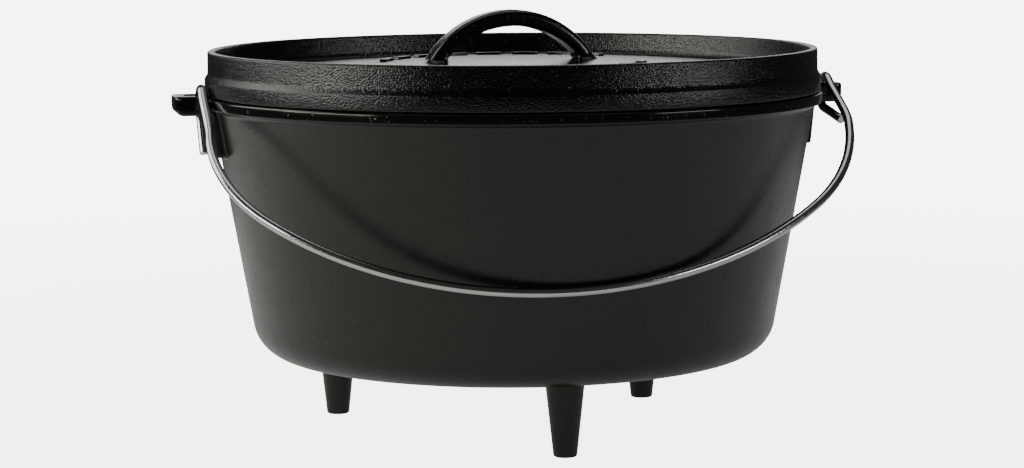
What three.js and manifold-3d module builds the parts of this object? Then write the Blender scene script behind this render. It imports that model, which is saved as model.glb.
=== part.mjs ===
// A deep camp dutch oven in cast iron: a three-legged pot with two ears, a flanged lid with a loop
// handle, and a wire bail whose hooked ends hang in the slots of the ears.
// Millimetres, +Z up. The origin is on the ground below the middle of the pot, with the ears along X
// and the bail resting on the front (-Y) wall.
import * as THREE from 'three';
import { mergeVertices } from 'three/addons/utils/BufferGeometryUtils.js';
import Module from 'manifold-3d';

const wasm = await Module();
wasm.setup();

// ---- driving dimensions ----
const RING_SIDES = 64;            // facets round the pot and the lid

// Pot
const UNDERSIDE = 38.5;           // height of the pot's flat underside: legs of 1 1/2 inch
const WALL = 4.5;                 // thickness of wall and floor
const DRAFT = Math.tan(THREE.MathUtils.degToRad(10));  // how much the wall widens per mm of height
const WALL_TOP = 166;             // where the straight wall ends below the rim
const WALL_TOP_RADIUS = 155.6;
const CORNER_RADIUS = 19.5;       // round corner between the wall and the underside
const RIM_RADIUS = 160.2;
const RIM_TOP = 174.1;
const RIM_BAND = 5.2;             // height of the rim's upright band

// Legs
const LEG_CIRCLE = 98.2;          // distance of each leg from the pot's axis
const LEG_TURN = 2.6;             // the three legs sit this many degrees off the line of the ears
const FOOT_RADIUS = 5.9;
const LEG_RADIUS = 9.6;           // at the top, before the root's fillet

// Ears and the pads below them
const EAR_TIP = 176.4;
const EAR_HALF_WIDTH = 12.5;
const EAR_THICK = 10;
const EAR_TOP = 175.5;           // the ears stand a little above the rim
const EAR_EDGE = 1.3;             // rounding of the ear's edges
const SLOT_IN = 158.8;            // the slot's inner and outer end
const SLOT_OUT = 170.2;
const SLOT_HALF_WIDTH = 5;
const SLOT_BOTTOM = 162;          // the slot's groove in the rim and the pad ends here
const LID_ROOM = 0.4;             // the ears stay this far outside the rim, where they rise above it
const PAD_HALF_WIDTH = 19;
const PAD_TOP_RADIUS = 159.5;     // the pad's face, just below the ear and at its foot
const PAD_FOOT_RADIUS = 157.5;
const PAD_BOTTOM = 144.5;

// Lid
const LID_BOTTOM = 174.4;         // 0.3 mm above the rim that it rests on
const SKIRT_RADIUS = 159.2;
const LEDGE_LOW = 182.2;          // the sloping step round the lid, its foot and its top
const LEDGE_HIGH = 186.2;
const FLANGE_RADIUS = 157.5;
const FLANGE_TOP = 196.7;
const FLANGE_THICK = 3.9;
const PLATE_TOP = 190.5;          // top of the gently domed plate, at its middle
const PLATE_FALL = 7;             // how far the dome falls from the middle to the flange
const PLATE_THICK = 4.3;
const LIP_RADIUS = 150.4;         // the ring that drops into the mouth of the pot
const LIP_THICK = 5;
const LIP_BOTTOM = 170.6;

// Loop handle on the lid
const HANDLE_TURN = 7;            // degrees that the handle is turned from the line of the ears
const HANDLE_SHIFT = -1.2;        // and set off the middle along X
const HANDLE_TOP = 216.3;
const HANDLE_OUTER = 53;          // radius of the arch outside and inside
const HANDLE_INNER = 48.5;
const HANDLE_THICK = 8.5;         // at the crown
const HANDLE_DEPTH = 14;
const HANDLE_EDGE = 2.4;

// Bail
const WIRE_RADIUS = 2.4;
const HOOK_RADIUS = 8.5;          // centre line of the hook, round the hinge axis
const BAIL_DROP = 34;             // degrees below level at which the bail rests on the wall
const BOW_REACH = 159.1;          // from the hooks to the middle of the bow
const BOW_RADIUS = 191.6;
const BEND_RADIUS = 100;          // the tighter bend at each side of the bow
const SIDE_SPAN = 165.35;         // half the width where the legs run into the bend
const HOOK_SPAN = 164.8;          // half the distance between the hooks
const HOOK_SHIFT = 2.3;           // the bail is slid a little along +X in its slots,
const SIDE_SHIFT = 3.55;          // and hand-bent, so that its sides
const BOW_SHIFT = -10;            // and its bow lie a little off the middle

// The hinge axis runs along X through the middle of each ear's front bar.
const EAR_BAR = EAR_HALF_WIDTH - SLOT_HALF_WIDTH;
const HINGE_Y = -(SLOT_HALF_WIDTH + EAR_BAR / 2);
const HINGE_Z = EAR_TOP - EAR_THICK / 2;

const degrees = THREE.MathUtils.degToRad;

// ---- helpers ----
function arcPoints(centreX, centreY, radius, from, to, steps) {
  const points = [];
  for (let i = 0; i <= steps; i += 1) {
    const angle = degrees(from + ((to - from) * i) / steps);
    points.push(new THREE.Vector2(centreX + radius * Math.cos(angle), centreY + radius * Math.sin(angle)));
  }
  return points;
}

function roundedRectangle(left, bottom, right, top, radius, steps) {
  return [
    ...arcPoints(right - radius, bottom + radius, radius, -90, 0, steps),
    ...arcPoints(right - radius, top - radius, radius, 0, 90, steps),
    ...arcPoints(left + radius, top - radius, radius, 90, 180, steps),
    ...arcPoints(left + radius, bottom + radius, radius, 180, 270, steps),
  ];
}

// Turns a profile of (radius, height) points about the Z axis.
function turned(profile, sides) {
  const geometry = new THREE.LatheGeometry(profile, sides);
  geometry.rotateX(Math.PI / 2);
  return geometry;
}

// A closed three.js geometry as a solid that can be cut and joined.
function toSolid(geometry) {
  const bare = geometry.clone();
  bare.deleteAttribute('normal');
  bare.deleteAttribute('uv');
  const merged = mergeVertices(bare, 1e-4);
  const index = merged.index.array;
  const triangles = [];
  for (let i = 0; i < index.length; i += 3) {
    const [a, b, c] = [index[i], index[i + 1], index[i + 2]];
    if (a !== b && b !== c && c !== a) {
      triangles.push(a, b, c);
    }
  }
  return new wasm.Manifold(new wasm.Mesh({
    numProp: 3,
    vertProperties: new Float32Array(merged.attributes.position.array),
    triVerts: new Uint32Array(triangles),
  }));
}

function toGeometry(solid) {
  const mesh = solid.getMesh();
  const geometry = new THREE.BufferGeometry();
  geometry.setAttribute('position', new THREE.BufferAttribute(mesh.vertProperties, 3));
  geometry.setIndex(new THREE.BufferAttribute(mesh.triVerts, 1));
  geometry.computeVertexNormals();
  return geometry;
}

// ---- pot ----
function wallRadius(height) {
  return WALL_TOP_RADIUS - DRAFT * (WALL_TOP - height);
}

function potShell() {
  const slant = Math.hypot(1, DRAFT);
  const cornerZ = UNDERSIDE + CORNER_RADIUS;
  const cornerX = wallRadius(cornerZ) - slant * CORNER_RADIUS;
  const wallAngle = -THREE.MathUtils.radToDeg(Math.atan(DRAFT));
  const fairing = new THREE.QuadraticBezierCurve(
    new THREE.Vector2(wallRadius(WALL_TOP - 3), WALL_TOP - 3),
    new THREE.Vector2(wallRadius(WALL_TOP + 1.6), WALL_TOP + 1.6),
    new THREE.Vector2(RIM_RADIUS - 0.4, RIM_TOP - RIM_BAND - 0.5),
  );
  const mouth = wallRadius(RIM_TOP) - slant * WALL;
  return turned([
    new THREE.Vector2(0, UNDERSIDE),
    ...arcPoints(cornerX, cornerZ, CORNER_RADIUS, -90, wallAngle, 6),
    ...fairing.getPoints(4),
    new THREE.Vector2(RIM_RADIUS, RIM_TOP - RIM_BAND),
    new THREE.Vector2(RIM_RADIUS, RIM_TOP - 0.8),
    new THREE.Vector2(RIM_RADIUS - 0.8, RIM_TOP),
    new THREE.Vector2(mouth, RIM_TOP),
    ...arcPoints(cornerX, cornerZ, CORNER_RADIUS - WALL, wallAngle, -90, 5),
    new THREE.Vector2(0, UNDERSIDE + WALL),
  ], RING_SIDES);
}

function leg(angle) {
  const root = UNDERSIDE + WALL / 2;   // the leg grows out of the middle of the floor
  const geometry = turned([
    new THREE.Vector2(0, 0),
    new THREE.Vector2(FOOT_RADIUS - 0.6, 0),
    new THREE.Vector2(FOOT_RADIUS, 0.6),
    new THREE.Vector2(LEG_RADIUS, UNDERSIDE - 4),
    new THREE.Vector2(LEG_RADIUS + 1, UNDERSIDE - 1.8),
    new THREE.Vector2(LEG_RADIUS + 3.4, UNDERSIDE),
    new THREE.Vector2(LEG_RADIUS + 3.4, root),
    new THREE.Vector2(0, root),
  ], 16);
  const turn = degrees(angle + LEG_TURN);
  geometry.translate(LEG_CIRCLE * Math.cos(turn), LEG_CIRCLE * Math.sin(turn), 0);
  return geometry;
}

function slotOutline() {
  return roundedRectangle(SLOT_IN, -SLOT_HALF_WIDTH, SLOT_OUT, SLOT_HALF_WIDTH, 3, 3);
}

// The ear on the +X side, seen from above. Its edges and those of its slot are rounded.
function earPlate() {
  const inside = WALL_TOP_RADIUS - 1.5;
  const root = EAR_HALF_WIDTH + 4;
  const rimAtRoot = Math.sqrt(RIM_RADIUS ** 2 - root ** 2);
  const corner = 4.5;
  const outline = [
    new THREE.Vector2(inside, -root),
    ...arcPoints(rimAtRoot + 3.5, -EAR_HALF_WIDTH - 3.5, 3.5, 180, 90, 3),
    ...arcPoints(EAR_TIP - corner, -EAR_HALF_WIDTH + corner, corner, -90, 0, 4),
    ...arcPoints(EAR_TIP - corner, EAR_HALF_WIDTH - corner, corner, 0, 90, 4),
    ...arcPoints(rimAtRoot + 3.5, EAR_HALF_WIDTH + 3.5, 3.5, 270, 180, 3),
    new THREE.Vector2(inside, root),
  ];
  const shape = new THREE.Shape(outline);
  shape.holes.push(new THREE.Path(slotOutline()));
  const geometry = new THREE.ExtrudeGeometry(shape, {
    depth: EAR_THICK - 2 * EAR_EDGE,
    bevelEnabled: true,
    bevelThickness: EAR_EDGE,
    bevelSize: EAR_EDGE,
    bevelOffset: -EAR_EDGE,
    bevelSegments: 2,
  });
  geometry.translate(0, 0, EAR_TOP - EAR_THICK + EAR_EDGE);
  return geometry;
}

// The ear seen from the side, which rounds its tip up from below.
function earSide() {
  const low = EAR_TOP - EAR_THICK;
  const rounding = 5;
  const outline = [
    new THREE.Vector2(0, low),
    ...arcPoints(EAR_TIP - rounding, low + rounding, rounding, -90, 0, 4),
    new THREE.Vector2(EAR_TIP, EAR_TOP),
    new THREE.Vector2(0, EAR_TOP),
  ];
  const geometry = new THREE.ExtrudeGeometry(new THREE.Shape(outline), {
    depth: 4 * EAR_HALF_WIDTH,
    bevelEnabled: false,
  });
  geometry.rotateX(Math.PI / 2);
  geometry.translate(0, 2 * EAR_HALF_WIDTH, 0);
  return geometry;
}

// The slot goes on down through the edge of the rim and the top of the pad.
function earSlot() {
  const shape = new THREE.Shape(slotOutline());
  const geometry = new THREE.ExtrudeGeometry(shape, {
    depth: EAR_TOP + 5 - SLOT_BOTTOM,
    bevelEnabled: false,
  });
  geometry.translate(0, 0, SLOT_BOTTOM);
  return geometry;
}

// The room that the lid needs above the rim, which the ears leave free.
function lidRoom() {
  const low = RIM_TOP - 0.1;
  return turned([
    new THREE.Vector2(0, low),
    new THREE.Vector2(RIM_RADIUS + LID_ROOM, low),
    new THREE.Vector2(RIM_RADIUS + LID_ROOM, EAR_TOP + 5),
    new THREE.Vector2(0, EAR_TOP + 5),
  ], RING_SIDES);
}

// A shallow pad on the wall below the ear, following the wall's slope.
function earPad() {
  const top = EAR_TOP - EAR_THICK + 1;
  const root = WALL / 2;
  const edge = 0.8;
  const outline = [
    new THREE.Vector2(wallRadius(PAD_BOTTOM) - root, PAD_BOTTOM),
    new THREE.Vector2(PAD_FOOT_RADIUS - edge, PAD_BOTTOM),
    new THREE.Vector2(PAD_FOOT_RADIUS, PAD_BOTTOM + edge),
    new THREE.Vector2(PAD_TOP_RADIUS, top),
    new THREE.Vector2(wallRadius(top) - root, top),
  ];
  const closed = [...outline, outline[0]];
  const band = new THREE.LatheGeometry(closed, 96);
  band.rotateX(Math.PI / 2);
  const wedge = new THREE.Shape([
    new THREE.Vector2(0, 0),
    new THREE.Vector2(RIM_RADIUS, -PAD_HALF_WIDTH),
    new THREE.Vector2(RIM_RADIUS, PAD_HALF_WIDTH),
  ]);
  const block = new THREE.ExtrudeGeometry(wedge, { depth: 60, bevelEnabled: false });
  block.translate(0, 0, PAD_BOTTOM - 10);
  return toSolid(band).intersect(toSolid(block));
}

function ear() {
  const plate = toSolid(earPlate()).intersect(toSolid(earSide())).subtract(toSolid(lidRoom()));
  return plate.add(earPad());
}

function potGeometry() {
  let pot = toSolid(potShell());
  for (const angle of [-90, 30, 150]) {
    pot = pot.add(toSolid(leg(angle)));
  }
  for (const turn of [0, 180]) {
    pot = pot.add(ear().rotate([0, 0, turn]));
    pot = pot.subtract(toSolid(earSlot()).rotate([0, 0, turn]));
  }
  return toGeometry(pot);
}

// ---- lid ----
function plateHeight(radius) {
  const edge = FLANGE_RADIUS - FLANGE_THICK;
  return PLATE_TOP - PLATE_FALL * (radius / edge) ** 2;
}

function domePoints(radii, drop) {
  return radii.map((radius) => new THREE.Vector2(radius, plateHeight(radius) - drop));
}

function lidShell() {
  const flangeInside = FLANGE_RADIUS - FLANGE_THICK;
  const lipInside = LIP_RADIUS - LIP_THICK;
  return turned([
    ...domePoints([0, 50, 95, lipInside], PLATE_THICK),
    new THREE.Vector2(lipInside + 1, LIP_BOTTOM),
    new THREE.Vector2(LIP_RADIUS - 0.5, LIP_BOTTOM),
    new THREE.Vector2(LIP_RADIUS, LIP_BOTTOM + 0.8),
    new THREE.Vector2(LIP_RADIUS, LID_BOTTOM),
    new THREE.Vector2(SKIRT_RADIUS - 0.8, LID_BOTTOM),
    new THREE.Vector2(SKIRT_RADIUS, LID_BOTTOM + 0.8),
    new THREE.Vector2(SKIRT_RADIUS, LEDGE_LOW),
    new THREE.Vector2(FLANGE_RADIUS + 0.5, LEDGE_HIGH - 1.8),
    new THREE.Vector2(FLANGE_RADIUS, LEDGE_HIGH),
    new THREE.Vector2(FLANGE_RADIUS, FLANGE_TOP - 0.9),
    new THREE.Vector2(FLANGE_RADIUS - 0.9, FLANGE_TOP),
    new THREE.Vector2(flangeInside + 0.9, FLANGE_TOP),
    new THREE.Vector2(flangeInside, FLANGE_TOP - 0.9),
    new THREE.Vector2(flangeInside - 0.8, plateHeight(flangeInside) + 3),
    new THREE.Vector2(flangeInside - 3.5, plateHeight(flangeInside - 3.5)),
    ...domePoints([115, 75, 38, 0], 0),
  ], RING_SIDES);
}

// The loop handle: an arch between two circles, thicker at its feet than at its crown.
function handleArch() {
  const outerZ = HANDLE_TOP - HANDLE_OUTER;
  const innerZ = HANDLE_TOP - HANDLE_THICK - HANDLE_INNER;
  const foot = PLATE_TOP - 2.5;
  const outerAngle = THREE.MathUtils.radToDeg(Math.asin((foot - outerZ) / HANDLE_OUTER));
  const innerAngle = THREE.MathUtils.radToDeg(Math.asin((foot - innerZ) / HANDLE_INNER));
  const outline = [
    ...arcPoints(0, outerZ, HANDLE_OUTER, outerAngle, 180 - outerAngle, 16),
    ...arcPoints(0, innerZ, HANDLE_INNER, 180 - innerAngle, innerAngle, 14),
  ];
  const geometry = new THREE.ExtrudeGeometry(new THREE.Shape(outline), {
    depth: HANDLE_DEPTH - 2 * HANDLE_EDGE,
    bevelEnabled: true,
    bevelThickness: HANDLE_EDGE,
    bevelSize: HANDLE_EDGE,
    bevelOffset: -HANDLE_EDGE,
    bevelSegments: 2,
  });
  geometry.translate(0, 0, HANDLE_EDGE - HANDLE_DEPTH / 2);
  geometry.rotateX(Math.PI / 2);
  geometry.rotateZ(degrees(HANDLE_TURN));
  geometry.translate(HANDLE_SHIFT, 0, 0);
  return geometry;
}

function lidGeometry() {
  return toGeometry(toSolid(lidShell()).add(toSolid(handleArch())));
}

// ---- bail ----
// A curve whose own points are the rings of the tube, so that tight bends get more of them.
class WireCurve extends THREE.CatmullRomCurve3 {
  getUtoTmapping(u) {
    return u;
  }
}

// How far the bail's middle lies off the pot's middle, at a distance v from the hooks.
function bailShift(v) {
  return THREE.MathUtils.mapLinear(v, bendCentre(), BOW_REACH, SIDE_SHIFT, BOW_SHIFT);
}

function bendCentre() {
  const across = SIDE_SPAN - BEND_RADIUS;
  return BOW_REACH - BOW_RADIUS + Math.sqrt((BOW_RADIUS - BEND_RADIUS) ** 2 - across ** 2);
}

// A point of the bail's flat part: u across, v from the hooks towards the bow.
function onBail(u, v) {
  const drop = degrees(BAIL_DROP);
  return new THREE.Vector3(
    u,
    HINGE_Y - HOOK_RADIUS * Math.sin(drop) - v * Math.cos(drop),
    HINGE_Z + HOOK_RADIUS * Math.cos(drop) - v * Math.sin(drop),
  );
}

// One side from the middle of the bow up to its leg. Side is -1 or 1.
function bailSide(side) {
  const across = SIDE_SPAN - BEND_RADIUS;
  const bowCentre = BOW_REACH - BOW_RADIUS;
  const meet = THREE.MathUtils.radToDeg(Math.atan2(bendCentre() - bowCentre, across));
  const flat = [
    ...arcPoints(0, bowCentre, BOW_RADIUS, 90, meet, 11).slice(1),
    ...arcPoints(across, bendCentre(), BEND_RADIUS, meet, 0, 8).slice(1),
  ];
  return flat.map((point) => onBail(side * point.x + bailShift(point.y), point.y));
}

// The hook goes over the front bar of the ear and down through its slot, and ends in a straight tail.
// Turn is how far the hook closes past straight down, tail the length of the straight end, and splay
// how far that end leans outwards.
function bailHook(side, turn, tail, splay) {
  const x = side * HOOK_SPAN + HOOK_SHIFT;
  const points = [onBail(x, 6)];
  const from = 90 + BAIL_DROP;
  const to = -turn;
  const steps = Math.round((from - to) / 18);
  for (const point of arcPoints(HINGE_Y, HINGE_Z, HOOK_RADIUS, from, to, steps)) {
    points.push(new THREE.Vector3(x, point.x, point.y));
  }
  const last = points[points.length - 1];
  for (const along of [0.33, 1]) {
    points.push(new THREE.Vector3(
      x + side * splay * along,
      last.y - tail * along * Math.sin(degrees(turn)),
      last.z - tail * along * Math.cos(degrees(turn)),
    ));
  }
  return points;
}

function bailGeometry() {
  const left = [...bailSide(-1), ...bailHook(-1, 20, 23, -1)];
  const right = [...bailSide(1), ...bailHook(1, 70, 17, 5)];
  const middle = onBail(bailShift(BOW_REACH), BOW_REACH);
  const points = [...left.reverse(), middle, ...right];
  const path = new WireCurve(points, false, 'centripetal');
  const section = new THREE.Shape(arcPoints(0, 0, WIRE_RADIUS, 0, 324, 9));
  return new THREE.ExtrudeGeometry(section, {
    steps: points.length - 1,
    bevelEnabled: false,
    extrudePath: path,
  });
}

// ---- materials and the assembly ----
function seasonedIron(roughness) {
  return new THREE.MeshStandardMaterial({ color: 0x1b1e1d, roughness, metalness: 0.35 });
}

function zincWire() {
  return new THREE.MeshStandardMaterial({ color: 0xb9bcbd, roughness: 0.3, metalness: 1 });
}

function named(name, geometry, material) {
  const mesh = new THREE.Mesh(geometry, material);
  mesh.name = name;
  return mesh;
}

const oven = new THREE.Group();
oven.add(named('pot', potGeometry(), seasonedIron(0.55)));
oven.add(named('lid', lidGeometry(), seasonedIron(0.4)));
oven.add(named('bail', bailGeometry(), zincWire()));

export default oven;
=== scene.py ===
"""The looks of a cast iron camp dutch oven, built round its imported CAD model.

The three CAD nodes (pot, lid and bail) are each replaced by one finer casting or wire of the same
size. Lengths below are in millimetres, as in the CAD, and MM turns them into Blender's metres.
"""

import math

import bmesh
import bpy
import numpy as np
from mathutils import Matrix, Vector


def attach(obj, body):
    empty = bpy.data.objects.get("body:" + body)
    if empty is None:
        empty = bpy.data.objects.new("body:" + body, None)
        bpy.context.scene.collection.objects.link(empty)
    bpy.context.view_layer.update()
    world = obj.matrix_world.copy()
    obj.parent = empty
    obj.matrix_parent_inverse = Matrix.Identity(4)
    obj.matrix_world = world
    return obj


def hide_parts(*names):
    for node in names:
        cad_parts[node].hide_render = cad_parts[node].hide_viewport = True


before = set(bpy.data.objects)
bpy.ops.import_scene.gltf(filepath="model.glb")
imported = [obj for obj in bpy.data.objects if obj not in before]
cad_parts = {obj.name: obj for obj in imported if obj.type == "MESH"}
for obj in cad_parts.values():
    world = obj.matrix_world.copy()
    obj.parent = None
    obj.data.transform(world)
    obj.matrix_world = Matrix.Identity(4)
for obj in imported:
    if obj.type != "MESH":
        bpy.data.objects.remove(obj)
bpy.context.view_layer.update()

MM = 0.001

# ---- sizes, the same as in the CAD ----
SIDES = 288                       # facets round the turned shapes
LEG_SIDES = 56
WIRE_SIDES = 28

UNDERSIDE = 38.5                  # the pot, turned about its axis
WALL = 4.5
DRAFT = math.tan(math.radians(10))
WALL_TOP = 166.0
WALL_TOP_RADIUS = 155.6
CORNER_RADIUS = 19.5
RIM_RADIUS = 160.2
RIM_TOP = 174.1
RIM_BAND = 5.4
MOUTH_RADIUS = 152.4

LEG_CIRCLE = 98.2
LEG_ANGLES = (-87.4, 32.6, 152.6)
FOOT_RADIUS = 5.9
LEG_RADIUS = 9.6
LEG_FLARE = 6.0                   # how far the root reaches out under the floor

EAR_TIP = 176.4                   # the ears, slotted for the bail's hooks
EAR_HALF_WIDTH = 12.5
EAR_THICK = 10.0
EAR_TOP = 175.5
EAR_CORNER = 4.5
EAR_CHIN = 5.0                    # rounding under the tip
SLOT_IN = 158.8
SLOT_OUT = 170.2
SLOT_HALF_WIDTH = 5.0
SLOT_CORNER = 3.4
SLOT_BOTTOM = 162.0
LID_ROOM = 0.4                    # gap between the ears and the lid
PAD_HALF_WIDTH = 19.0
PAD_TOP_RADIUS = 159.5
PAD_FOOT_RADIUS = 157.5
PAD_BOTTOM = 144.5

LID_BOTTOM = 174.4                # the lid, turned about its axis
SKIRT_RADIUS = 159.2
LEDGE_LOW = 182.2
LEDGE_HIGH = 185.6
FLANGE_RADIUS = 157.5
FLANGE_TOP = 196.7
FLANGE_THICK = 3.9
PLATE_TOP = 190.5
PLATE_FALL = 7.0                  # from the middle of the plate to the flange
PLATE_THICK = 4.3
LIP_RADIUS = 150.4
LIP_THICK = 5.0
LIP_BOTTOM = 170.6

HANDLE_TURN = math.radians(7)     # the loop handle stands a little askew
HANDLE_SHIFT = -1.2
HANDLE_TOP = 216.3
HANDLE_OUTER = 53.0               # radii of the arch above and below
HANDLE_INNER = 48.5
HANDLE_THICK = 8.5
HANDLE_DEPTH = 14.0
HANDLE_OUTER_EDGE = 3.2
HANDLE_INNER_EDGE = 1.6
HANDLE_FOOT = 42.0                # how far from the middle each foot of the arch stands

MARK_COUNT = 8                    # plain raised bars cast in an arc on each side of the handle
MARK_PITCH = math.radians(16.5)
MARK_CIRCLE = 68.0
MARK_LENGTH = 13.5
MARK_WIDTH = 4.0
MARK_HEIGHT = 1.4

WIRE_RADIUS = 2.4
HOOK_RADIUS = 8.5
HOOK_LEG = 6.0                    # straight wire between the hook and the bend
LEFT_HOOK = (math.radians(20), 23, -1)   # how far round, length of the tail, how far it leans out
RIGHT_HOOK = (math.radians(70), 17, 5)
BAIL_DROP = math.radians(34)      # below level, resting against the front of the pot
BOW_REACH = 159.1
BOW_RADIUS = 191.6
BEND_RADIUS = 100.0
SIDE_SPAN = 165.35
HOOK_SPAN = 164.8
HOOK_SHIFT = 2.3
SIDE_SHIFT = 3.55
BOW_SHIFT = -10.0
HINGE_Y = -(SLOT_HALF_WIDTH + EAR_HALF_WIDTH) / 2
HINGE_Z = EAR_TOP - EAR_THICK / 2

# ---- how the castings are blended ----
SUNK = 0.03                       # how far a blended block lies below the casting it joins
SKIN = 2.2                        # and how deep it reaches under that surface
NET_PITCH = 0.8                   # size of the blended blocks' faces
EAR_BLEND = 4.0
PAD_BLEND = 1.6
HANDLE_BLEND = 3.5
NO_CUT = -50                      # stands for a surface that is too far away to cut anything

# ---- relief of the surfaces, in metres ----
SWELL_DEPTH = 0.0002              # slow waves in the cast surfaces
PIT_DEPTH = 0.00008
DRAWN_DEPTH = 0.00004             # drawing marks on the wire

# ---- camera and studio, in metres and degrees ----
CAMERA_AZIMUTH = -12.0
CAMERA_LOOK = 0.033               # how far it looks aside from the oven's axis
CAMERA_PITCH = 6.935
CAMERA_ROLL = 0.394
CAMERA_AWAY = 1.44997
CAMERA_HEIGHT = 0.27547
CAMERA_LENS = 98.2
LIGHT_AIM = 0.17                  # height that the softboxes face
FLOOR_FADE = 0.5                  # how far out from the middle the floor starts to fade
FLOOR_REACH = 1.15
FLOOR_GLOW = 5.0                  # light of the floor's own that the camera sees
FLOOR_FILL = 0.25                 # and that everything else is lit by
BACKDROP_GLOW = 6.5               # the surround that the camera sees
ROOM_GLOW = 0.04                  # and the one that everything else is lit by
WARM = (1.0, 1.0, 0.94)
COOL = (0.93, 0.97, 1.0)
WHITE = (1.0, 1.0, 1.0)


# ---- camera and studio ----
def camera():
    """Stands where the photograph was taken from: low, a little to the left of the front."""
    data = bpy.data.cameras.new("camera")
    data.sensor_width = 36.0
    data.lens = CAMERA_LENS
    data.clip_start = 0.05
    data.clip_end = 50.0
    shot = bpy.data.objects.new("camera", data)
    bpy.context.scene.collection.objects.link(shot)
    azimuth = math.radians(CAMERA_AZIMUTH)
    pitch = math.radians(CAMERA_PITCH)
    roll = math.radians(CAMERA_ROLL)
    look = azimuth + math.radians(CAMERA_LOOK)
    forward = Vector((-math.sin(look) * math.cos(pitch), math.cos(look) * math.cos(pitch),
                      -math.sin(pitch)))
    right = Vector((math.cos(look), math.sin(look), 0.0))
    down = forward.cross(right)
    tilted = right * math.cos(roll) + down * math.sin(roll)
    up = right * math.sin(roll) - down * math.cos(roll)
    stand = Matrix((tilted, up, -forward)).transposed().to_4x4()
    stand.translation = Vector((
        math.sin(azimuth) * CAMERA_AWAY,
        -math.cos(azimuth) * CAMERA_AWAY,
        CAMERA_HEIGHT,
    ))
    shot.matrix_world = stand
    bpy.context.scene.camera = shot


def softbox(name, azimuth, elevation, distance, width, height, glow, colour=WHITE):
    """A glowing rectangle facing the oven. Azimuth is counted from the camera's side to the right."""
    data = bpy.data.lights.new(name, "AREA")
    data.shape = "RECTANGLE"
    data.size = width
    data.size_y = height
    data.energy = math.pi * width * height * glow
    data.color = colour
    light = bpy.data.objects.new(name, data)
    bpy.context.scene.collection.objects.link(light)
    turn = math.radians(azimuth + CAMERA_AZIMUTH - 90.0)
    rise = math.radians(elevation)
    level = math.cos(rise)
    spot = Vector((math.cos(turn) * level, math.sin(turn) * level, math.sin(rise)))
    light.location = spot * distance + Vector((0.0, 0.0, LIGHT_AIM))
    light.rotation_euler = spot.to_track_quat("Z", "Y").to_euler()
    light.visible_camera = False


def by_ray(tree, seen, other):
    """Mixes two shaders: one that the camera sees, one that everything else is lit by."""
    path = tree.nodes.new("ShaderNodeLightPath")
    mix = tree.nodes.new("ShaderNodeMixShader")
    tree.links.new(path.outputs["Is Camera Ray"], mix.inputs["Fac"])
    tree.links.new(other, mix.inputs[1])
    tree.links.new(seen, mix.inputs[2])
    return mix.outputs["Shader"]


def glowing(tree, matt, strength):
    """The matt shader with some white light of its own."""
    glow = tree.nodes.new("ShaderNodeEmission")
    glow.inputs["Color"].default_value = (*WHITE, 1)
    glow.inputs["Strength"].default_value = strength
    lifted = tree.nodes.new("ShaderNodeAddShader")
    tree.links.new(matt.outputs["BSDF"], lifted.inputs[0])
    tree.links.new(glow.outputs["Emission"], lifted.inputs[1])
    return lifted.outputs["Shader"]


def floor():
    """A pale round table that fades out into the background."""
    reach = FLOOR_REACH
    corners = [(-reach, -reach, 0), (reach, -reach, 0), (reach, reach, 0), (-reach, reach, 0)]
    mesh = bpy.data.meshes.new("floor")
    mesh.from_pydata(corners, [], [(0, 1, 2, 3)])
    plane = bpy.data.objects.new("floor", mesh)
    bpy.context.scene.collection.objects.link(plane)
    material = bpy.data.materials.new("pale_floor")
    material.use_nodes = True
    tree = material.node_tree
    tree.nodes.clear()
    matt = tree.nodes.new("ShaderNodeBsdfDiffuse")
    matt.inputs["Color"].default_value = (0.80, 0.80, 0.78, 1)
    seen = glowing(tree, matt, FLOOR_GLOW)
    other = glowing(tree, matt, FLOOR_FILL)
    clear = tree.nodes.new("ShaderNodeBsdfTransparent")
    coordinates = tree.nodes.new("ShaderNodeTexCoord")
    out_from_middle = tree.nodes.new("ShaderNodeVectorMath")
    out_from_middle.operation = "LENGTH"
    tree.links.new(coordinates.outputs["Object"], out_from_middle.inputs[0])
    fade = tree.nodes.new("ShaderNodeMapRange")
    fade.interpolation_type = "SMOOTHSTEP"
    fade.inputs["From Min"].default_value = FLOOR_FADE
    fade.inputs["From Max"].default_value = FLOOR_REACH
    tree.links.new(out_from_middle.outputs["Value"], fade.inputs["Value"])
    edge = tree.nodes.new("ShaderNodeMixShader")
    tree.links.new(fade.outputs["Result"], edge.inputs["Fac"])
    tree.links.new(by_ray(tree, seen, other), edge.inputs[1])
    tree.links.new(clear.outputs["BSDF"], edge.inputs[2])
    out = tree.nodes.new("ShaderNodeOutputMaterial")
    tree.links.new(edge.outputs["Shader"], out.inputs["Surface"])
    mesh.materials.append(material)


def backdrop():
    """A white surround behind everything, which lights the oven only faintly."""
    world = bpy.data.worlds.new("studio")
    bpy.context.scene.world = world
    world.use_nodes = True
    tree = world.node_tree
    faint = tree.nodes["Background"]
    faint.inputs["Color"].default_value = (*WHITE, 1)
    faint.inputs["Strength"].default_value = ROOM_GLOW
    seen = tree.nodes.new("ShaderNodeBackground")
    seen.inputs["Color"].default_value = (*WHITE, 1)
    seen.inputs["Strength"].default_value = BACKDROP_GLOW
    both = by_ray(tree, seen.outputs["Background"], faint.outputs["Background"])
    tree.links.new(both, tree.nodes["World Output"].inputs["Surface"])


def studio():
    """Softboxes just above level at both sides, dark between them, and fainter ones behind."""
    backdrop()
    floor()
    softbox("left_front", -68, 11, 1.4, 0.95, 0.36, 8.0, WARM)
    softbox("left_back", -106, 28, 1.4, 0.85, 1.05, 3.2, WARM)
    softbox("right", 63, 10, 1.4, 0.60, 0.26, 6.5, COOL)
    softbox("back", 180, 13, 2.4, 1.6, 0.7, 1.5)
    softbox("top", 180, 78, 1.6, 1.5, 1.1, 1.0)


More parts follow.
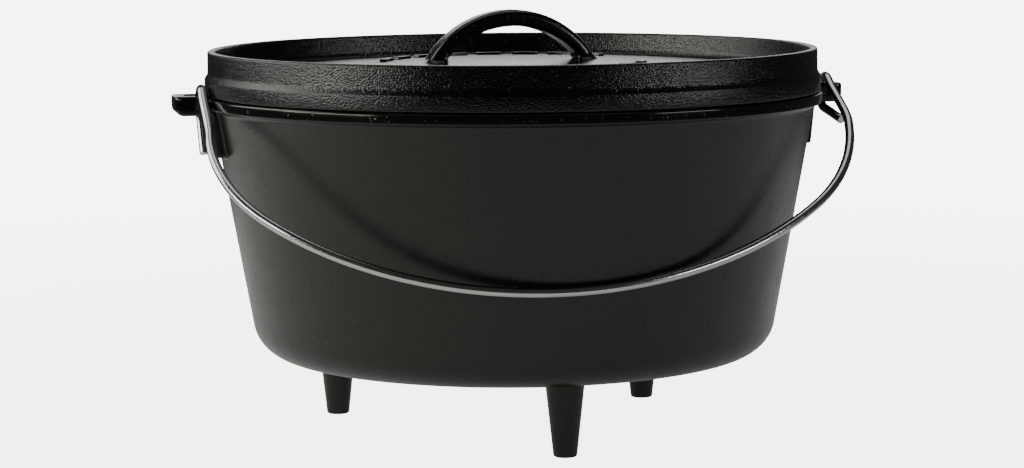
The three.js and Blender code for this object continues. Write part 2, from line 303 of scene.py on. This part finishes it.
# ---- mesh helpers ----
def new_object(name, vertices, faces, sharp=40.0):
    """A smooth-shaded object from millimetre vertices, with edges sharper than the angle kept hard."""
    mesh = bpy.data.meshes.new(name)
    mesh.from_pydata([tuple(v) for v in np.asarray(vertices, float) * MM], [], faces)
    piece = bpy.data.objects.new(name, mesh)
    bpy.context.scene.collection.objects.link(piece)
    tidy(piece, sharp)
    return piece


def tidy(piece, sharp=40.0):
    """Merges doubled points, turns the faces outwards and sets the smooth shading."""
    grid = bmesh.new()
    grid.from_mesh(piece.data)
    bmesh.ops.remove_doubles(grid, verts=grid.verts, dist=1e-7)
    bmesh.ops.recalc_face_normals(grid, faces=grid.faces)
    grid.to_mesh(piece.data)
    grid.free()
    piece.data.shade_smooth()
    piece.data.set_sharp_from_angle(angle=math.radians(sharp))


def filleted(corners, steps=5):
    """An open outline of (x, y, radius) corners, with each corner of some radius rounded to an arc."""
    points = [np.array(corners[0][:2], float)]
    for before, here, after in zip(corners, corners[1:], corners[2:]):
        spot = np.array(here[:2], float)
        radius = here[2]
        if radius <= 0:
            points.append(spot)
            continue
        to_before = np.array(before[:2], float) - spot
        to_after = np.array(after[:2], float) - spot
        to_before /= np.linalg.norm(to_before)
        to_after /= np.linalg.norm(to_after)
        half = math.acos(np.clip(to_before @ to_after, -1, 1)) / 2
        middle = (to_before + to_after) / np.linalg.norm(to_before + to_after)
        centre = spot + middle * radius / math.sin(half)
        start = spot + to_before * radius / math.tan(half) - centre
        end = spot + to_after * radius / math.tan(half) - centre
        sweep = math.atan2(start[0] * end[1] - start[1] * end[0], start @ end)
        count = max(2, round(steps * max(1.0, radius / 3) * abs(sweep) / (math.pi / 2)))
        for i in range(count + 1):
            angle = sweep * i / count
            x = start[0] * math.cos(angle) - start[1] * math.sin(angle)
            y = start[0] * math.sin(angle) + start[1] * math.cos(angle)
            points.append(centre + np.array([x, y]))
    points.append(np.array(corners[-1][:2], float))
    return points


def turned(name, profile, sides=SIDES):
    """Turns (radius, height) points about the Z axis. The first and the last point are on the axis."""
    rings = profile[1:-1]
    vertices = [(0, 0, profile[0][1])]
    for radius, height in rings:
        for i in range(sides):
            angle = 2 * math.pi * i / sides
            vertices.append((radius * math.cos(angle), radius * math.sin(angle), height))
    vertices.append((0, 0, profile[-1][1]))
    last = len(vertices) - 1
    faces = []
    for i in range(sides):
        j = (i + 1) % sides
        faces.append((0, 1 + j, 1 + i))
        for ring in range(len(rings) - 1):
            a = 1 + ring * sides
            faces.append((a + i, a + j, a + sides + j, a + sides + i))
        a = 1 + (len(rings) - 1) * sides
        faces.append((last, a + i, a + j))
    return new_object(name, vertices, faces)


def boolean(piece, other, operation):
    """Joins another object to a piece, or cuts it away, and removes it."""
    step = piece.modifiers.new("boolean", "BOOLEAN")
    step.operation = operation
    step.solver = "EXACT"
    step.object = other
    graph = bpy.context.evaluated_depsgraph_get()
    result = bpy.data.meshes.new_from_object(piece.evaluated_get(graph))
    piece.modifiers.clear()
    old = piece.data
    piece.data = result
    bpy.data.meshes.remove(old)
    bpy.data.objects.remove(other)


# ---- shapes given by their distance, for castings that blend into each other ----
def smooth_union(a, b, blend):
    """Both a and b, with the corner between them filled to a fillet about as wide as blend."""
    h = np.clip(0.5 + 0.5 * (b - a) / blend, 0, 1)
    return b * (1 - h) + a * h - blend * h * (1 - h)


def rounded_cut(a, b, radius):
    """The part inside both a and b, with the edge between them rounded."""
    u = np.maximum(a + radius, 0)
    v = np.maximum(b + radius, 0)
    return np.minimum(np.maximum(a, b), -radius) + np.hypot(u, v)


def rounded_box(x, y, half_x, half_y, radius):
    """Signed distance to an upright box about the origin, with rounded corners in plan."""
    u = np.abs(x) - half_x + radius
    v = np.abs(y) - half_y + radius
    return np.hypot(np.maximum(u, 0), np.maximum(v, 0)) + np.minimum(np.maximum(u, v), 0) - radius


def outline_distance(x, y, outline):
    """Signed distance to a closed outline of points, negative inside."""
    best = np.full(x.shape, np.inf)
    inside = np.zeros(x.shape, bool)
    for (x0, y0), (x1, y1) in zip(outline, outline[1:] + outline[:1]):
        dx, dy = x1 - x0, y1 - y0
        along = np.clip(((x - x0) * dx + (y - y0) * dy) / (dx * dx + dy * dy + 1e-12), 0, 1)
        best = np.minimum(best, (x - x0 - along * dx) ** 2 + (y - y0 - along * dy) ** 2)
        crosses = (y0 > y) != (y1 > y)
        if dy != 0:
            inside ^= crosses & (x < x0 + (y - y0) * dx / dy)
    return np.where(inside, -1, 1) * np.sqrt(best)


def surface_net(name, distance, low, high, pitch):
    """A closed mesh of the surface where distance(x, y, z) is zero, inside the box from low to high."""
    axes = [np.arange(low[k], high[k] + pitch, pitch) for k in range(3)]
    grid = np.meshgrid(*axes, indexing="ij")
    value = distance(*grid)
    inside = value < 0
    shape = inside.shape
    total = np.zeros(tuple(n - 1 for n in shape) + (3,))
    count = np.zeros(tuple(n - 1 for n in shape))
    corners = [(i, j, k) for i in (0, 1) for j in (0, 1) for k in (0, 1)]

    def at(array, corner):
        return array[tuple(slice(c, n - 1 + c) for c, n in zip(corner, shape))]

    for a in corners:
        for b in corners:
            if sum(b) - sum(a) != 1 or sum(abs(p - q) for p, q in zip(a, b)) != 1:
                continue
            change = at(inside, a) != at(inside, b)
            va, vb = at(value, a), at(value, b)
            share = np.where(change, va / np.where(change, va - vb, 1), 0)
            for k in range(3):
                total[..., k] += np.where(change, a[k] + share * (b[k] - a[k]), 0)
            count += change
    used = count > 0
    number = np.full(used.shape, -1)
    number[used] = np.arange(used.sum())
    cell = np.argwhere(used)
    vertices = (cell + total[used] / count[used][:, None]) * pitch + np.array([a[0] for a in axes])
    faces = []
    for k in range(3):
        u, v = [n for n in range(3) if n != k]
        ahead = np.take(inside, range(1, shape[k]), k)
        behind = np.take(inside, range(shape[k] - 1), k)
        for spot in np.argwhere(ahead != behind):
            if spot[u] == 0 or spot[v] == 0 or spot[u] >= shape[u] - 1 or spot[v] >= shape[v] - 1:
                continue
            ring = []
            for du, dv in ((0, 0), (1, 0), (1, 1), (0, 1)):
                index = list(spot)
                index[u] -= du
                index[v] -= dv
                ring.append(int(number[tuple(index)]))
            faces.append(tuple(ring))
    for _ in range(4):
        vertices = onto_surface(vertices, distance)
    return new_object(name, vertices, faces)


def onto_surface(vertices, distance, reach=0.5):
    """Moves each point down the slope of the distance onto the surface itself."""
    x, y, z = vertices.T
    here = distance(x, y, z)
    step = 0.02
    slope = np.stack([distance(x + step, y, z) - distance(x - step, y, z),
                      distance(x, y + step, z) - distance(x, y - step, z),
                      distance(x, y, z + step) - distance(x, y, z - step)], 1) / (2 * step)
    size = np.maximum((slope ** 2).sum(1), 0.25)
    move = -slope * (here / size)[:, None]
    length = np.linalg.norm(move, axis=1)[:, None]
    return vertices + move * np.minimum(1, reach / np.maximum(length, 1e-9))


# ---- pot ----
def wall_radius(height):
    """The outside of the tapering wall."""
    return WALL_TOP_RADIUS - DRAFT * (WALL_TOP - height)


def pot_profile():
    """Outline of the pot from the middle of its underside to the middle of its floor."""
    slant = math.hypot(1, DRAFT)
    cove = RIM_TOP - RIM_BAND
    floor_height = UNDERSIDE + WALL
    inner_foot = wall_radius(floor_height) - slant * WALL
    return filleted([
        (0, UNDERSIDE, 0),
        (wall_radius(UNDERSIDE), UNDERSIDE, CORNER_RADIUS),
        (wall_radius(cove - 0.3), cove - 0.3, 3.2),
        (RIM_RADIUS, cove, 0.8),
        (RIM_RADIUS, RIM_TOP, 1.0),
        (MOUTH_RADIUS, RIM_TOP, 1.1),
        (inner_foot, floor_height, CORNER_RADIUS - WALL),
        (0, floor_height, 0),
    ])


def leg(angle):
    """A tapered round leg whose root flares into the flat underside."""
    profile = filleted([
        (0, 0, 0),
        (FOOT_RADIUS, 0, 1.2),
        (LEG_RADIUS + 0.4, UNDERSIDE, 3.5),
        (LEG_RADIUS + LEG_FLARE, UNDERSIDE + 0.02, 0),
        (LEG_RADIUS + LEG_FLARE, UNDERSIDE + 2, 0),
        (0, UNDERSIDE + 2, 0),
    ])
    piece = turned("leg", profile, LEG_SIDES)
    turn = math.radians(angle)
    spot = Vector((LEG_CIRCLE * math.cos(turn), LEG_CIRCLE * math.sin(turn), 0)) * MM
    piece.data.transform(Matrix.Translation(spot))
    return piece


def ear_plate(x, y, z):
    """The ear on the +X side, a tab with rounded edges, and the slot to cut through it."""
    middle = (EAR_TIP + WALL_TOP_RADIUS - 16) / 2
    plan = rounded_box(x - middle, y, EAR_TIP - middle, EAR_HALF_WIDTH, EAR_CORNER)
    slot_middle = (SLOT_IN + SLOT_OUT) / 2
    slot = rounded_box(x - slot_middle, y, SLOT_OUT - slot_middle, SLOT_HALF_WIDTH, SLOT_CORNER)
    low = EAR_TOP - EAR_THICK
    side = rounded_cut(x - EAR_TIP, low - z, EAR_CHIN)
    plate = rounded_cut(rounded_cut(plan, side, 1.0), z - EAR_TOP, 1.2)
    return plate, slot


def ear(turn):
    """One ear and the pad below it, blended into the rim and the wall, a hair below their surface."""
    rim = [tuple(p) for p in pot_profile() if p[0] > MOUTH_RADIUS + 3 and p[1] > PAD_BOTTOM]
    foot = PAD_BOTTOM - 20
    core = WALL_TOP_RADIUS - 30
    outside = [(core, foot), (wall_radius(foot), foot), *rim, (core, RIM_TOP)]
    low = PAD_BOTTOM - 6
    reach = PAD_HALF_WIDTH + 12
    ear_bottom = EAR_TOP - EAR_THICK
    pad_slope = (PAD_TOP_RADIUS - PAD_FOOT_RADIUS) / 20

    def distance(x, y, z):
        radius = np.hypot(x, y)
        body = outline_distance(radius, z, outside)
        plate, slot = ear_plate(x, y, z)
        face = PAD_TOP_RADIUS + pad_slope * (z - ear_bottom)
        pad = rounded_cut(radius - face, np.abs(y) - PAD_HALF_WIDTH, 1.0)
        pad = rounded_cut(pad, PAD_BOTTOM - z, 1.0)
        pad = rounded_cut(pad, z - ear_bottom - 2, 0.5)
        both = smooth_union(smooth_union(body, pad, PAD_BLEND), plate, EAR_BLEND)
        both = rounded_cut(both, np.minimum(z - RIM_TOP, RIM_RADIUS + LID_ROOM - radius), 0.6)
        both = rounded_cut(both, np.where(z > SLOT_BOTTOM + 0.5, -slot, NO_CUT), 1.1)
        both = np.maximum(both + SUNK, -(body + SKIN))
        mouth = np.where(z > RIM_TOP - SKIN - 1, MOUTH_RADIUS + 2 - radius, NO_CUT)
        both = np.maximum(both, mouth)
        return np.maximum(np.maximum(both, np.abs(y) - reach), low - z)

    corner = (WALL_TOP_RADIUS - 20, -reach - 2, low - 2)
    piece = surface_net("ear", distance, corner, (EAR_TIP + 2, reach + 2, EAR_TOP + 2), NET_PITCH)
    piece.data.transform(Matrix.Rotation(turn, 4, "Z"))
    return piece


def slot_cutter(turn):
    """Clears the rim where the slot runs into it, a little wider than the slot."""
    spare = 0.25
    left, right = SLOT_IN - spare, SLOT_OUT
    half = SLOT_HALF_WIDTH + spare
    low, high = SLOT_BOTTOM, RIM_TOP + 3
    base = [(left, -half), (right, -half), (right, half), (left, half)]
    vertices = [(x, y, low) for x, y in base] + [(x, y, high) for x, y in base]
    faces = [(0, 3, 2, 1), (4, 5, 6, 7), (0, 1, 5, 4), (1, 2, 6, 5), (2, 3, 7, 6), (3, 0, 4, 7)]
    piece = new_object("cutter", vertices, faces)
    piece.data.transform(Matrix.Rotation(turn, 4, "Z"))
    return piece


def pot():
    """The whole pot casting: the turned bowl with its slots cut, its ears and its legs."""
    piece = turned("pot_casting", pot_profile())
    for turn in (0, math.pi):
        boolean(piece, slot_cutter(turn), "DIFFERENCE")
        boolean(piece, ear(turn), "UNION")
    for angle in LEG_ANGLES:
        boolean(piece, leg(angle), "UNION")
    tidy(piece)
    return piece


# ---- lid ----
def plate_height(radius):
    """The top of the lid's plate, a shallow dome."""
    return PLATE_TOP - PLATE_FALL * (radius / (FLANGE_RADIUS - FLANGE_THICK)) ** 2


def lid_profile():
    """Outline of the lid from the middle of its underside to the middle of its top."""
    inside = FLANGE_RADIUS - FLANGE_THICK
    lip_inside = LIP_RADIUS - LIP_THICK
    dome = [(r, plate_height(r), 0) for r in range(int(inside) - 9, 0, -6)]
    under = [(r, plate_height(r) - PLATE_THICK, 0) for r in range(6, int(lip_inside) - 5, 6)]
    return filleted([
        (0, PLATE_TOP - PLATE_THICK, 0),
        *under,
        (lip_inside, plate_height(lip_inside) - PLATE_THICK, 2.0),
        (lip_inside + 0.8, LIP_BOTTOM, 0.8),
        (LIP_RADIUS, LIP_BOTTOM, 0.8),
        (LIP_RADIUS, LID_BOTTOM, 0.5),
        (SKIRT_RADIUS, LID_BOTTOM, 1.2),
        (SKIRT_RADIUS, LEDGE_LOW + 0.3, 1.0),
        (FLANGE_RADIUS + 0.05, LEDGE_HIGH - 0.6, 3.5),
        (FLANGE_RADIUS, FLANGE_TOP, 1.2),
        (inside, FLANGE_TOP, 1.2),
        (inside - 0.8, plate_height(inside) + 0.4, 4.0),
        *dome,
        (0, PLATE_TOP, 0),
    ])


def handle():
    """The loop handle, blended into the plate at its feet."""
    outer_z = HANDLE_TOP - HANDLE_OUTER
    inner_z = HANDLE_TOP - HANDLE_THICK - HANDLE_INNER
    foot_reach = 18

    def distance(x, y, z):
        outer = np.hypot(x, z - outer_z) - HANDLE_OUTER
        inner = HANDLE_INNER - np.hypot(x, z - inner_z)
        arch = rounded_cut(outer, np.abs(y) - HANDLE_DEPTH / 2, HANDLE_OUTER_EDGE)
        arch = rounded_cut(arch, inner, HANDLE_INNER_EDGE)
        plate = z - plate_height(np.hypot(x, y))
        both = smooth_union(arch, plate, HANDLE_BLEND) + SUNK
        foot = rounded_box(np.abs(x) - HANDLE_FOOT, y, foot_reach, foot_reach - 1, 3)
        return np.maximum(np.maximum(both, np.where(plate < 3, foot, -1)), -(plate + SKIN))

    reach = HANDLE_FOOT + foot_reach + 2
    low = (-reach, -foot_reach - 2, PLATE_TOP - 7)
    piece = surface_net("handle", distance, low, (reach, foot_reach + 2, HANDLE_TOP + 2), NET_PITCH)
    piece.data.transform(Matrix.Rotation(HANDLE_TURN, 4, "Z"))
    piece.data.transform(Matrix.Translation((HANDLE_SHIFT * MM, 0, 0)))
    return piece


def raised_mark(angle):
    """One plain raised bar, bent to the ring that it stands in, with a softened top edge."""
    half = MARK_LENGTH / 2 / MARK_CIRCLE
    rings = [(0.0, -1.0), (0.0, 0.55), (0.25, 0.9), (0.7, 1.0)]     # inset and share of the height
    steps = 8
    vertices = []
    for inset, share in rings:
        for side in (-1, 1):
            for i in range(steps + 1):
                turn = angle + side * (half - inset / MARK_CIRCLE) * (2 * i / steps - 1)
                radius = MARK_CIRCLE + side * (MARK_WIDTH / 2 - inset)
                height = plate_height(radius) + MARK_HEIGHT * share
                vertices.append((radius * math.cos(turn), radius * math.sin(turn), height))
    loop = 2 * (steps + 1)
    faces = []
    for ring in range(len(rings) - 1):
        for i in range(loop):
            j = (i + 1) % loop
            a = ring * loop
            faces.append((a + i, a + j, a + loop + j, a + loop + i))
    top = (len(rings) - 1) * loop
    for base, flip in ((0, False), (top, True)):
        for i in range(steps):
            quad = (base + i, base + i + 1, base + loop - 2 - i, base + loop - 1 - i)
            faces.append(quad if flip else quad[::-1])
    return vertices, faces


def raised_marks():
    """The bars of both arcs, in front of the handle and behind it."""
    vertices, faces = [], []
    for side in (0, 1):
        middle = HANDLE_TURN + math.pi / 2 + side * math.pi
        for i in range(MARK_COUNT):
            more, quads = raised_mark(middle + (i - (MARK_COUNT - 1) / 2) * MARK_PITCH)
            faces += [tuple(len(vertices) + k for k in quad) for quad in quads]
            vertices += more
    return new_object("marks", vertices, faces)


def lid():
    """The whole lid casting: the turned plate, flange and skirt, the handle and the marks."""
    piece = turned("lid_casting", lid_profile())
    boolean(piece, handle(), "UNION")
    boolean(piece, raised_marks(), "UNION")
    tidy(piece)
    return piece


# ---- bail ----
def bend_centre():
    """How far from the hooks the bend between side and bow has its centre."""
    across = SIDE_SPAN - BEND_RADIUS
    return BOW_REACH - BOW_RADIUS + math.sqrt((BOW_RADIUS - BEND_RADIUS) ** 2 - across ** 2)


def bail_shift(v):
    """How far the hand-bent wire leans aside: one way at the bends, the other at the bow."""
    share = (v - bend_centre()) / (BOW_REACH - bend_centre())
    return SIDE_SHIFT + (BOW_SHIFT - SIDE_SHIFT) * share


def on_bail(u, v):
    """A point of the bail's flat part: u across, v from the hooks towards the bow."""
    return Vector((
        u,
        HINGE_Y - HOOK_RADIUS * math.sin(BAIL_DROP) - v * math.cos(BAIL_DROP),
        HINGE_Z + HOOK_RADIUS * math.cos(BAIL_DROP) - v * math.sin(BAIL_DROP),
    ))


def bail_side(side):
    """From beside the middle of the bow up to the leg. Side is -1 or 1."""
    across = SIDE_SPAN - BEND_RADIUS
    bow_centre = BOW_REACH - BOW_RADIUS
    meet = math.atan2(bend_centre() - bow_centre, across)
    bow_steps = 11
    bend_steps = 8
    flat = []
    for i in range(1, bow_steps + 1):
        angle = math.pi / 2 + (meet - math.pi / 2) * i / bow_steps
        flat.append((BOW_RADIUS * math.cos(angle), bow_centre + BOW_RADIUS * math.sin(angle)))
    for i in range(1, bend_steps + 1):
        angle = meet * (1 - i / bend_steps)
        u = across + BEND_RADIUS * math.cos(angle)
        flat.append((u, bend_centre() + BEND_RADIUS * math.sin(angle)))
    return [on_bail(side * u + bail_shift(v), v) for u, v in flat]


def bail_hook(side, turn, tail, splay):
    """Over the ear's front bar, down through its slot, and a straight tail."""
    x = side * HOOK_SPAN + HOOK_SHIFT
    points = [on_bail(x, HOOK_LEG)]
    start = math.pi / 2 + BAIL_DROP
    steps = round(math.degrees(start + turn) / 18)
    for i in range(steps + 1):
        angle = start - (start + turn) * i / steps
        points.append(Vector((x, HINGE_Y + HOOK_RADIUS * math.cos(angle),
                              HINGE_Z + HOOK_RADIUS * math.sin(angle))))
    last = points[-1]
    straight = Vector((side * splay, -tail * math.sin(turn), -tail * math.cos(turn)))
    points.append(last + 0.33 * straight)
    points.append(last + straight)
    return points


def smooth_path(points, parts):
    """Points along a centripetal curve through the given ones, the same curve as the CAD's."""
    ends = [2 * points[0] - points[1], *points, 2 * points[-1] - points[-2]]
    path = []
    for p0, p1, p2, p3 in zip(ends, ends[1:], ends[2:], ends[3:]):
        t0 = 0.0
        t1 = t0 + math.sqrt((p1 - p0).length)
        t2 = t1 + math.sqrt((p2 - p1).length)
        t3 = t2 + math.sqrt((p3 - p2).length)
        for i in range(parts):
            t = t1 + (t2 - t1) * i / parts
            a1 = p0.lerp(p1, (t - t0) / (t1 - t0))
            a2 = p1.lerp(p2, (t - t1) / (t2 - t1))
            a3 = p2.lerp(p3, (t - t2) / (t3 - t2))
            b1 = a1.lerp(a2, (t - t0) / (t2 - t0))
            b2 = a2.lerp(a3, (t - t1) / (t3 - t1))
            path.append(b1.lerp(b2, (t - t1) / (t2 - t1)))
    path.append(points[-1])
    return path


def swept(name, path, radius, sides=WIRE_SIDES, edge=0.5):
    """A round wire along a path, with its sheared ends slightly rounded."""
    tangents = [(path[min(i + 1, len(path) - 1)] - path[max(i - 1, 0)]).normalized()
                for i in range(len(path))]
    across = tangents[0].orthogonal().normalized()
    stations = []
    for spot, tangent in zip(path, tangents):
        across = (across - tangent * across.dot(tangent)).normalized()
        stations.append((spot, tangent, across.copy(), radius))
    ends = []
    for (spot, tangent, side, _), way in ((stations[0], 1), (stations[-1], -1)):
        rounding = []
        for k in range(5):
            angle = math.pi / 2 * k / 4
            shift = way * edge * (1 - math.sin(angle))
            size = radius - edge * (1 - math.cos(angle))
            rounding.append((spot + tangent * shift, tangent, side, size))
        ends.append(rounding)
    body = [station for station in stations[1:-1]
            if (station[0] - path[0]).length > edge * 1.5
            and (station[0] - path[-1]).length > edge * 1.5]
    rings = ends[0][::-1] + body + ends[1]
    vertices, faces = [], []
    for spot, tangent, side, size in rings:
        other = tangent.cross(side)
        for i in range(sides):
            angle = 2 * math.pi * i / sides
            outwards = side * (size * math.cos(angle)) + other * (size * math.sin(angle))
            vertices.append(spot + outwards)
    for ring in range(len(rings) - 1):
        for i in range(sides):
            j = (i + 1) % sides
            a = ring * sides
            faces.append((a + i, a + j, a + sides + j, a + sides + i))
    faces.append(tuple(range(sides))[::-1])
    faces.append(tuple(range(len(vertices) - sides, len(vertices))))
    return new_object(name, [tuple(v) for v in vertices], faces, 50.0)


def bail():
    """The bent wire, from one hook through the bow to the other."""
    left = bail_side(-1) + bail_hook(-1, *LEFT_HOOK)
    right = bail_side(1) + bail_hook(1, *RIGHT_HOOK)
    middle = on_bail(bail_shift(BOW_REACH), BOW_REACH)
    path = smooth_path([*reversed(left), middle, *right], 5)
    return swept("bail_wire", path, WIRE_RADIUS)


# ---- materials ----
def place(tree):
    """The place on the piece, in metres, as a vector."""
    name = "Texture Coordinate"
    coordinates = tree.nodes.get(name) or tree.nodes.new("ShaderNodeTexCoord")
    coordinates.name = name
    return coordinates.outputs["Object"]


def noise(tree, scale, detail, roughness=0.5):
    """Soft noise between 0 and 1, with about as many blobs to the metre as the scale says."""
    texture = tree.nodes.new("ShaderNodeTexNoise")
    texture.inputs["Scale"].default_value = scale
    texture.inputs["Detail"].default_value = detail
    texture.inputs["Roughness"].default_value = roughness
    tree.links.new(place(tree), texture.inputs["Vector"])
    return texture.outputs["Fac"]


def ramp(tree, source, low, high, low_value, high_value):
    """A value that goes from low_value to high_value while the source goes from low to high."""
    span = tree.nodes.new("ShaderNodeMapRange")
    span.inputs["From Min"].default_value = low
    span.inputs["From Max"].default_value = high
    span.inputs["To Min"].default_value = low_value
    span.inputs["To Max"].default_value = high_value
    tree.links.new(source, span.inputs["Value"])
    return span.outputs["Result"]


def product(tree, first, second):
    """Two values multiplied."""
    times = tree.nodes.new("ShaderNodeMath")
    times.operation = "MULTIPLY"
    tree.links.new(first, times.inputs[0])
    tree.links.new(second, times.inputs[1])
    return times.outputs["Value"]


def two_tone(tree, share, dark, light):
    """A colour between the dark and the light one."""
    tone = tree.nodes.new("ShaderNodeMix")
    tone.data_type = "RGBA"
    tone.inputs["A"].default_value = (*dark, 1)
    tone.inputs["B"].default_value = (*light, 1)
    tree.links.new(share, tone.inputs["Factor"])
    return tone.outputs["Result"]


def bump(tree, height, distance, before=None, strength=None):
    """Adds relief to the normal before it. Distance is the depth in metres for a height of 1."""
    node = tree.nodes.new("ShaderNodeBump")
    node.inputs["Distance"].default_value = distance
    node.inputs["Strength"].default_value = 1.0
    tree.links.new(height, node.inputs["Height"])
    if strength is not None:
        tree.links.new(strength, node.inputs["Strength"])
    if before is not None:
        tree.links.new(before, node.inputs["Normal"])
    return node.outputs["Normal"]


def pebbles(tree, size):
    """Rounded grains of one size, 0 between them and 1 on their tops."""
    cells = tree.nodes.new("ShaderNodeTexVoronoi")
    cells.inputs["Scale"].default_value = 1 / size
    tree.links.new(place(tree), cells.inputs["Vector"])
    square = product(tree, cells.outputs["Distance"], cells.outputs["Distance"])
    return ramp(tree, square, 0, 1, 1, 0)


def rim_band_share(tree, share):
    """1 below the pot's ground rim band, and the given share on it."""
    parts = tree.nodes.new("ShaderNodeSeparateXYZ")
    tree.links.new(place(tree), parts.inputs["Vector"])
    low = (RIM_TOP - RIM_BAND) * MM
    soft = 0.5 * MM
    return ramp(tree, parts.outputs["Z"], low - soft, low + soft, 1, share)


def from_axis(tree):
    """The distance from the oven's upright axis."""
    parts = tree.nodes.new("ShaderNodeSeparateXYZ")
    tree.links.new(place(tree), parts.inputs["Vector"])
    flat = tree.nodes.new("ShaderNodeCombineXYZ")
    tree.links.new(parts.outputs["X"], flat.inputs["X"])
    tree.links.new(parts.outputs["Y"], flat.inputs["Y"])
    length = tree.nodes.new("ShaderNodeVectorMath")
    length.operation = "LENGTH"
    tree.links.new(flat.outputs["Vector"], length.inputs[0])
    return length.outputs["Value"]


def cast_iron(name, dark, light, tint, rough, band, grain_size, grain_depth):
    """Seasoned cast iron: near black, with sand-cast grain, fine pits and an uneven sheen.

    Rough is the lowest and the highest roughness, and band is the share of it that is left on the
    pot's ground rim band. The grain fades from the flange to the smoother plate in the middle.
    """
    material = bpy.data.materials.new(name)
    material.use_nodes = True
    tree = material.node_tree
    shader = tree.nodes["Principled BSDF"]
    shader.inputs["Specular IOR Level"].default_value = 0.5
    shader.inputs["Specular Tint"].default_value = (*tint, 1)

    patches = ramp(tree, noise(tree, 14, 3), 0.35, 0.7, 0, 1)
    tree.links.new(two_tone(tree, patches, dark, light), shader.inputs["Base Color"])

    sheen = ramp(tree, noise(tree, 60, 4, 0.6), 0.3, 0.7, *rough)
    sheen = product(tree, sheen, rim_band_share(tree, band))
    tree.links.new(sheen, shader.inputs["Roughness"])

    coarse = ramp(tree, from_axis(tree), 0.10, 0.15, 0.15, 1)
    fine = noise(tree, 1.6 / grain_size, 1, 0.6)
    pits = ramp(tree, noise(tree, 400, 1), 0.66, 0.72, 0, -1)
    normal = bump(tree, noise(tree, 30, 1), SWELL_DEPTH)
    normal = bump(tree, pebbles(tree, grain_size), grain_depth, normal, coarse)
    normal = bump(tree, fine, grain_depth / 3, normal, coarse)
    normal = bump(tree, pits, PIT_DEPTH, normal)
    tree.links.new(normal, shader.inputs["Normal"])
    return material


def zinc_wire():
    """Bright zinc-plated wire, with a faint drawn texture and duller patches."""
    material = bpy.data.materials.new("zinc_wire")
    material.use_nodes = True
    tree = material.node_tree
    shader = tree.nodes["Principled BSDF"]
    shader.inputs["Metallic"].default_value = 1.0
    tone = two_tone(tree, noise(tree, 90, 3), (0.44, 0.44, 0.43), (0.62, 0.62, 0.60))
    tree.links.new(tone, shader.inputs["Base Color"])
    sheen = noise(tree, 400, 3, 0.6)
    tree.links.new(ramp(tree, sheen, 0.3, 0.7, 0.13, 0.24), shader.inputs["Roughness"])
    tree.links.new(bump(tree, sheen, DRAWN_DEPTH), shader.inputs["Normal"])
    return material


def pot_iron():
    """The pot's iron: smooth, satin and a little green, with a shiny ground band at the rim."""
    return cast_iron(
        "pot_iron",
        dark=(0.002, 0.0025, 0.002),
        light=(0.004, 0.005, 0.004),
        tint=(0.90, 1.0, 0.87),
        rough=(0.27, 0.33),
        band=0.4,
        grain_size=0.0011,
        grain_depth=0.00001,
    )


def lid_iron():
    """The lid's iron: blacker and glossier, with a pebbled grain."""
    return cast_iron(
        "lid_iron",
        dark=(0.001, 0.0012, 0.0012),
        light=(0.002, 0.0024, 0.0024),
        tint=(0.95, 1.0, 0.94),
        rough=(0.17, 0.22),
        band=1,
        grain_size=0.0009,
        grain_depth=0.00017,
    )


def dress(piece, material):
    """Gives the piece this one material."""
    piece.data.materials.clear()
    piece.data.materials.append(material)


# ---- assembly ----
camera()
studio()

pot_piece = pot()
dress(pot_piece, pot_iron())
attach(pot_piece, "pot")
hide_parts("pot")

lid_piece = lid()
dress(lid_piece, lid_iron())
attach(lid_piece, "lid")
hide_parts("lid")

bail_piece = bail()
dress(bail_piece, zinc_wire())
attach(bail_piece, "bail")
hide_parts("bail")
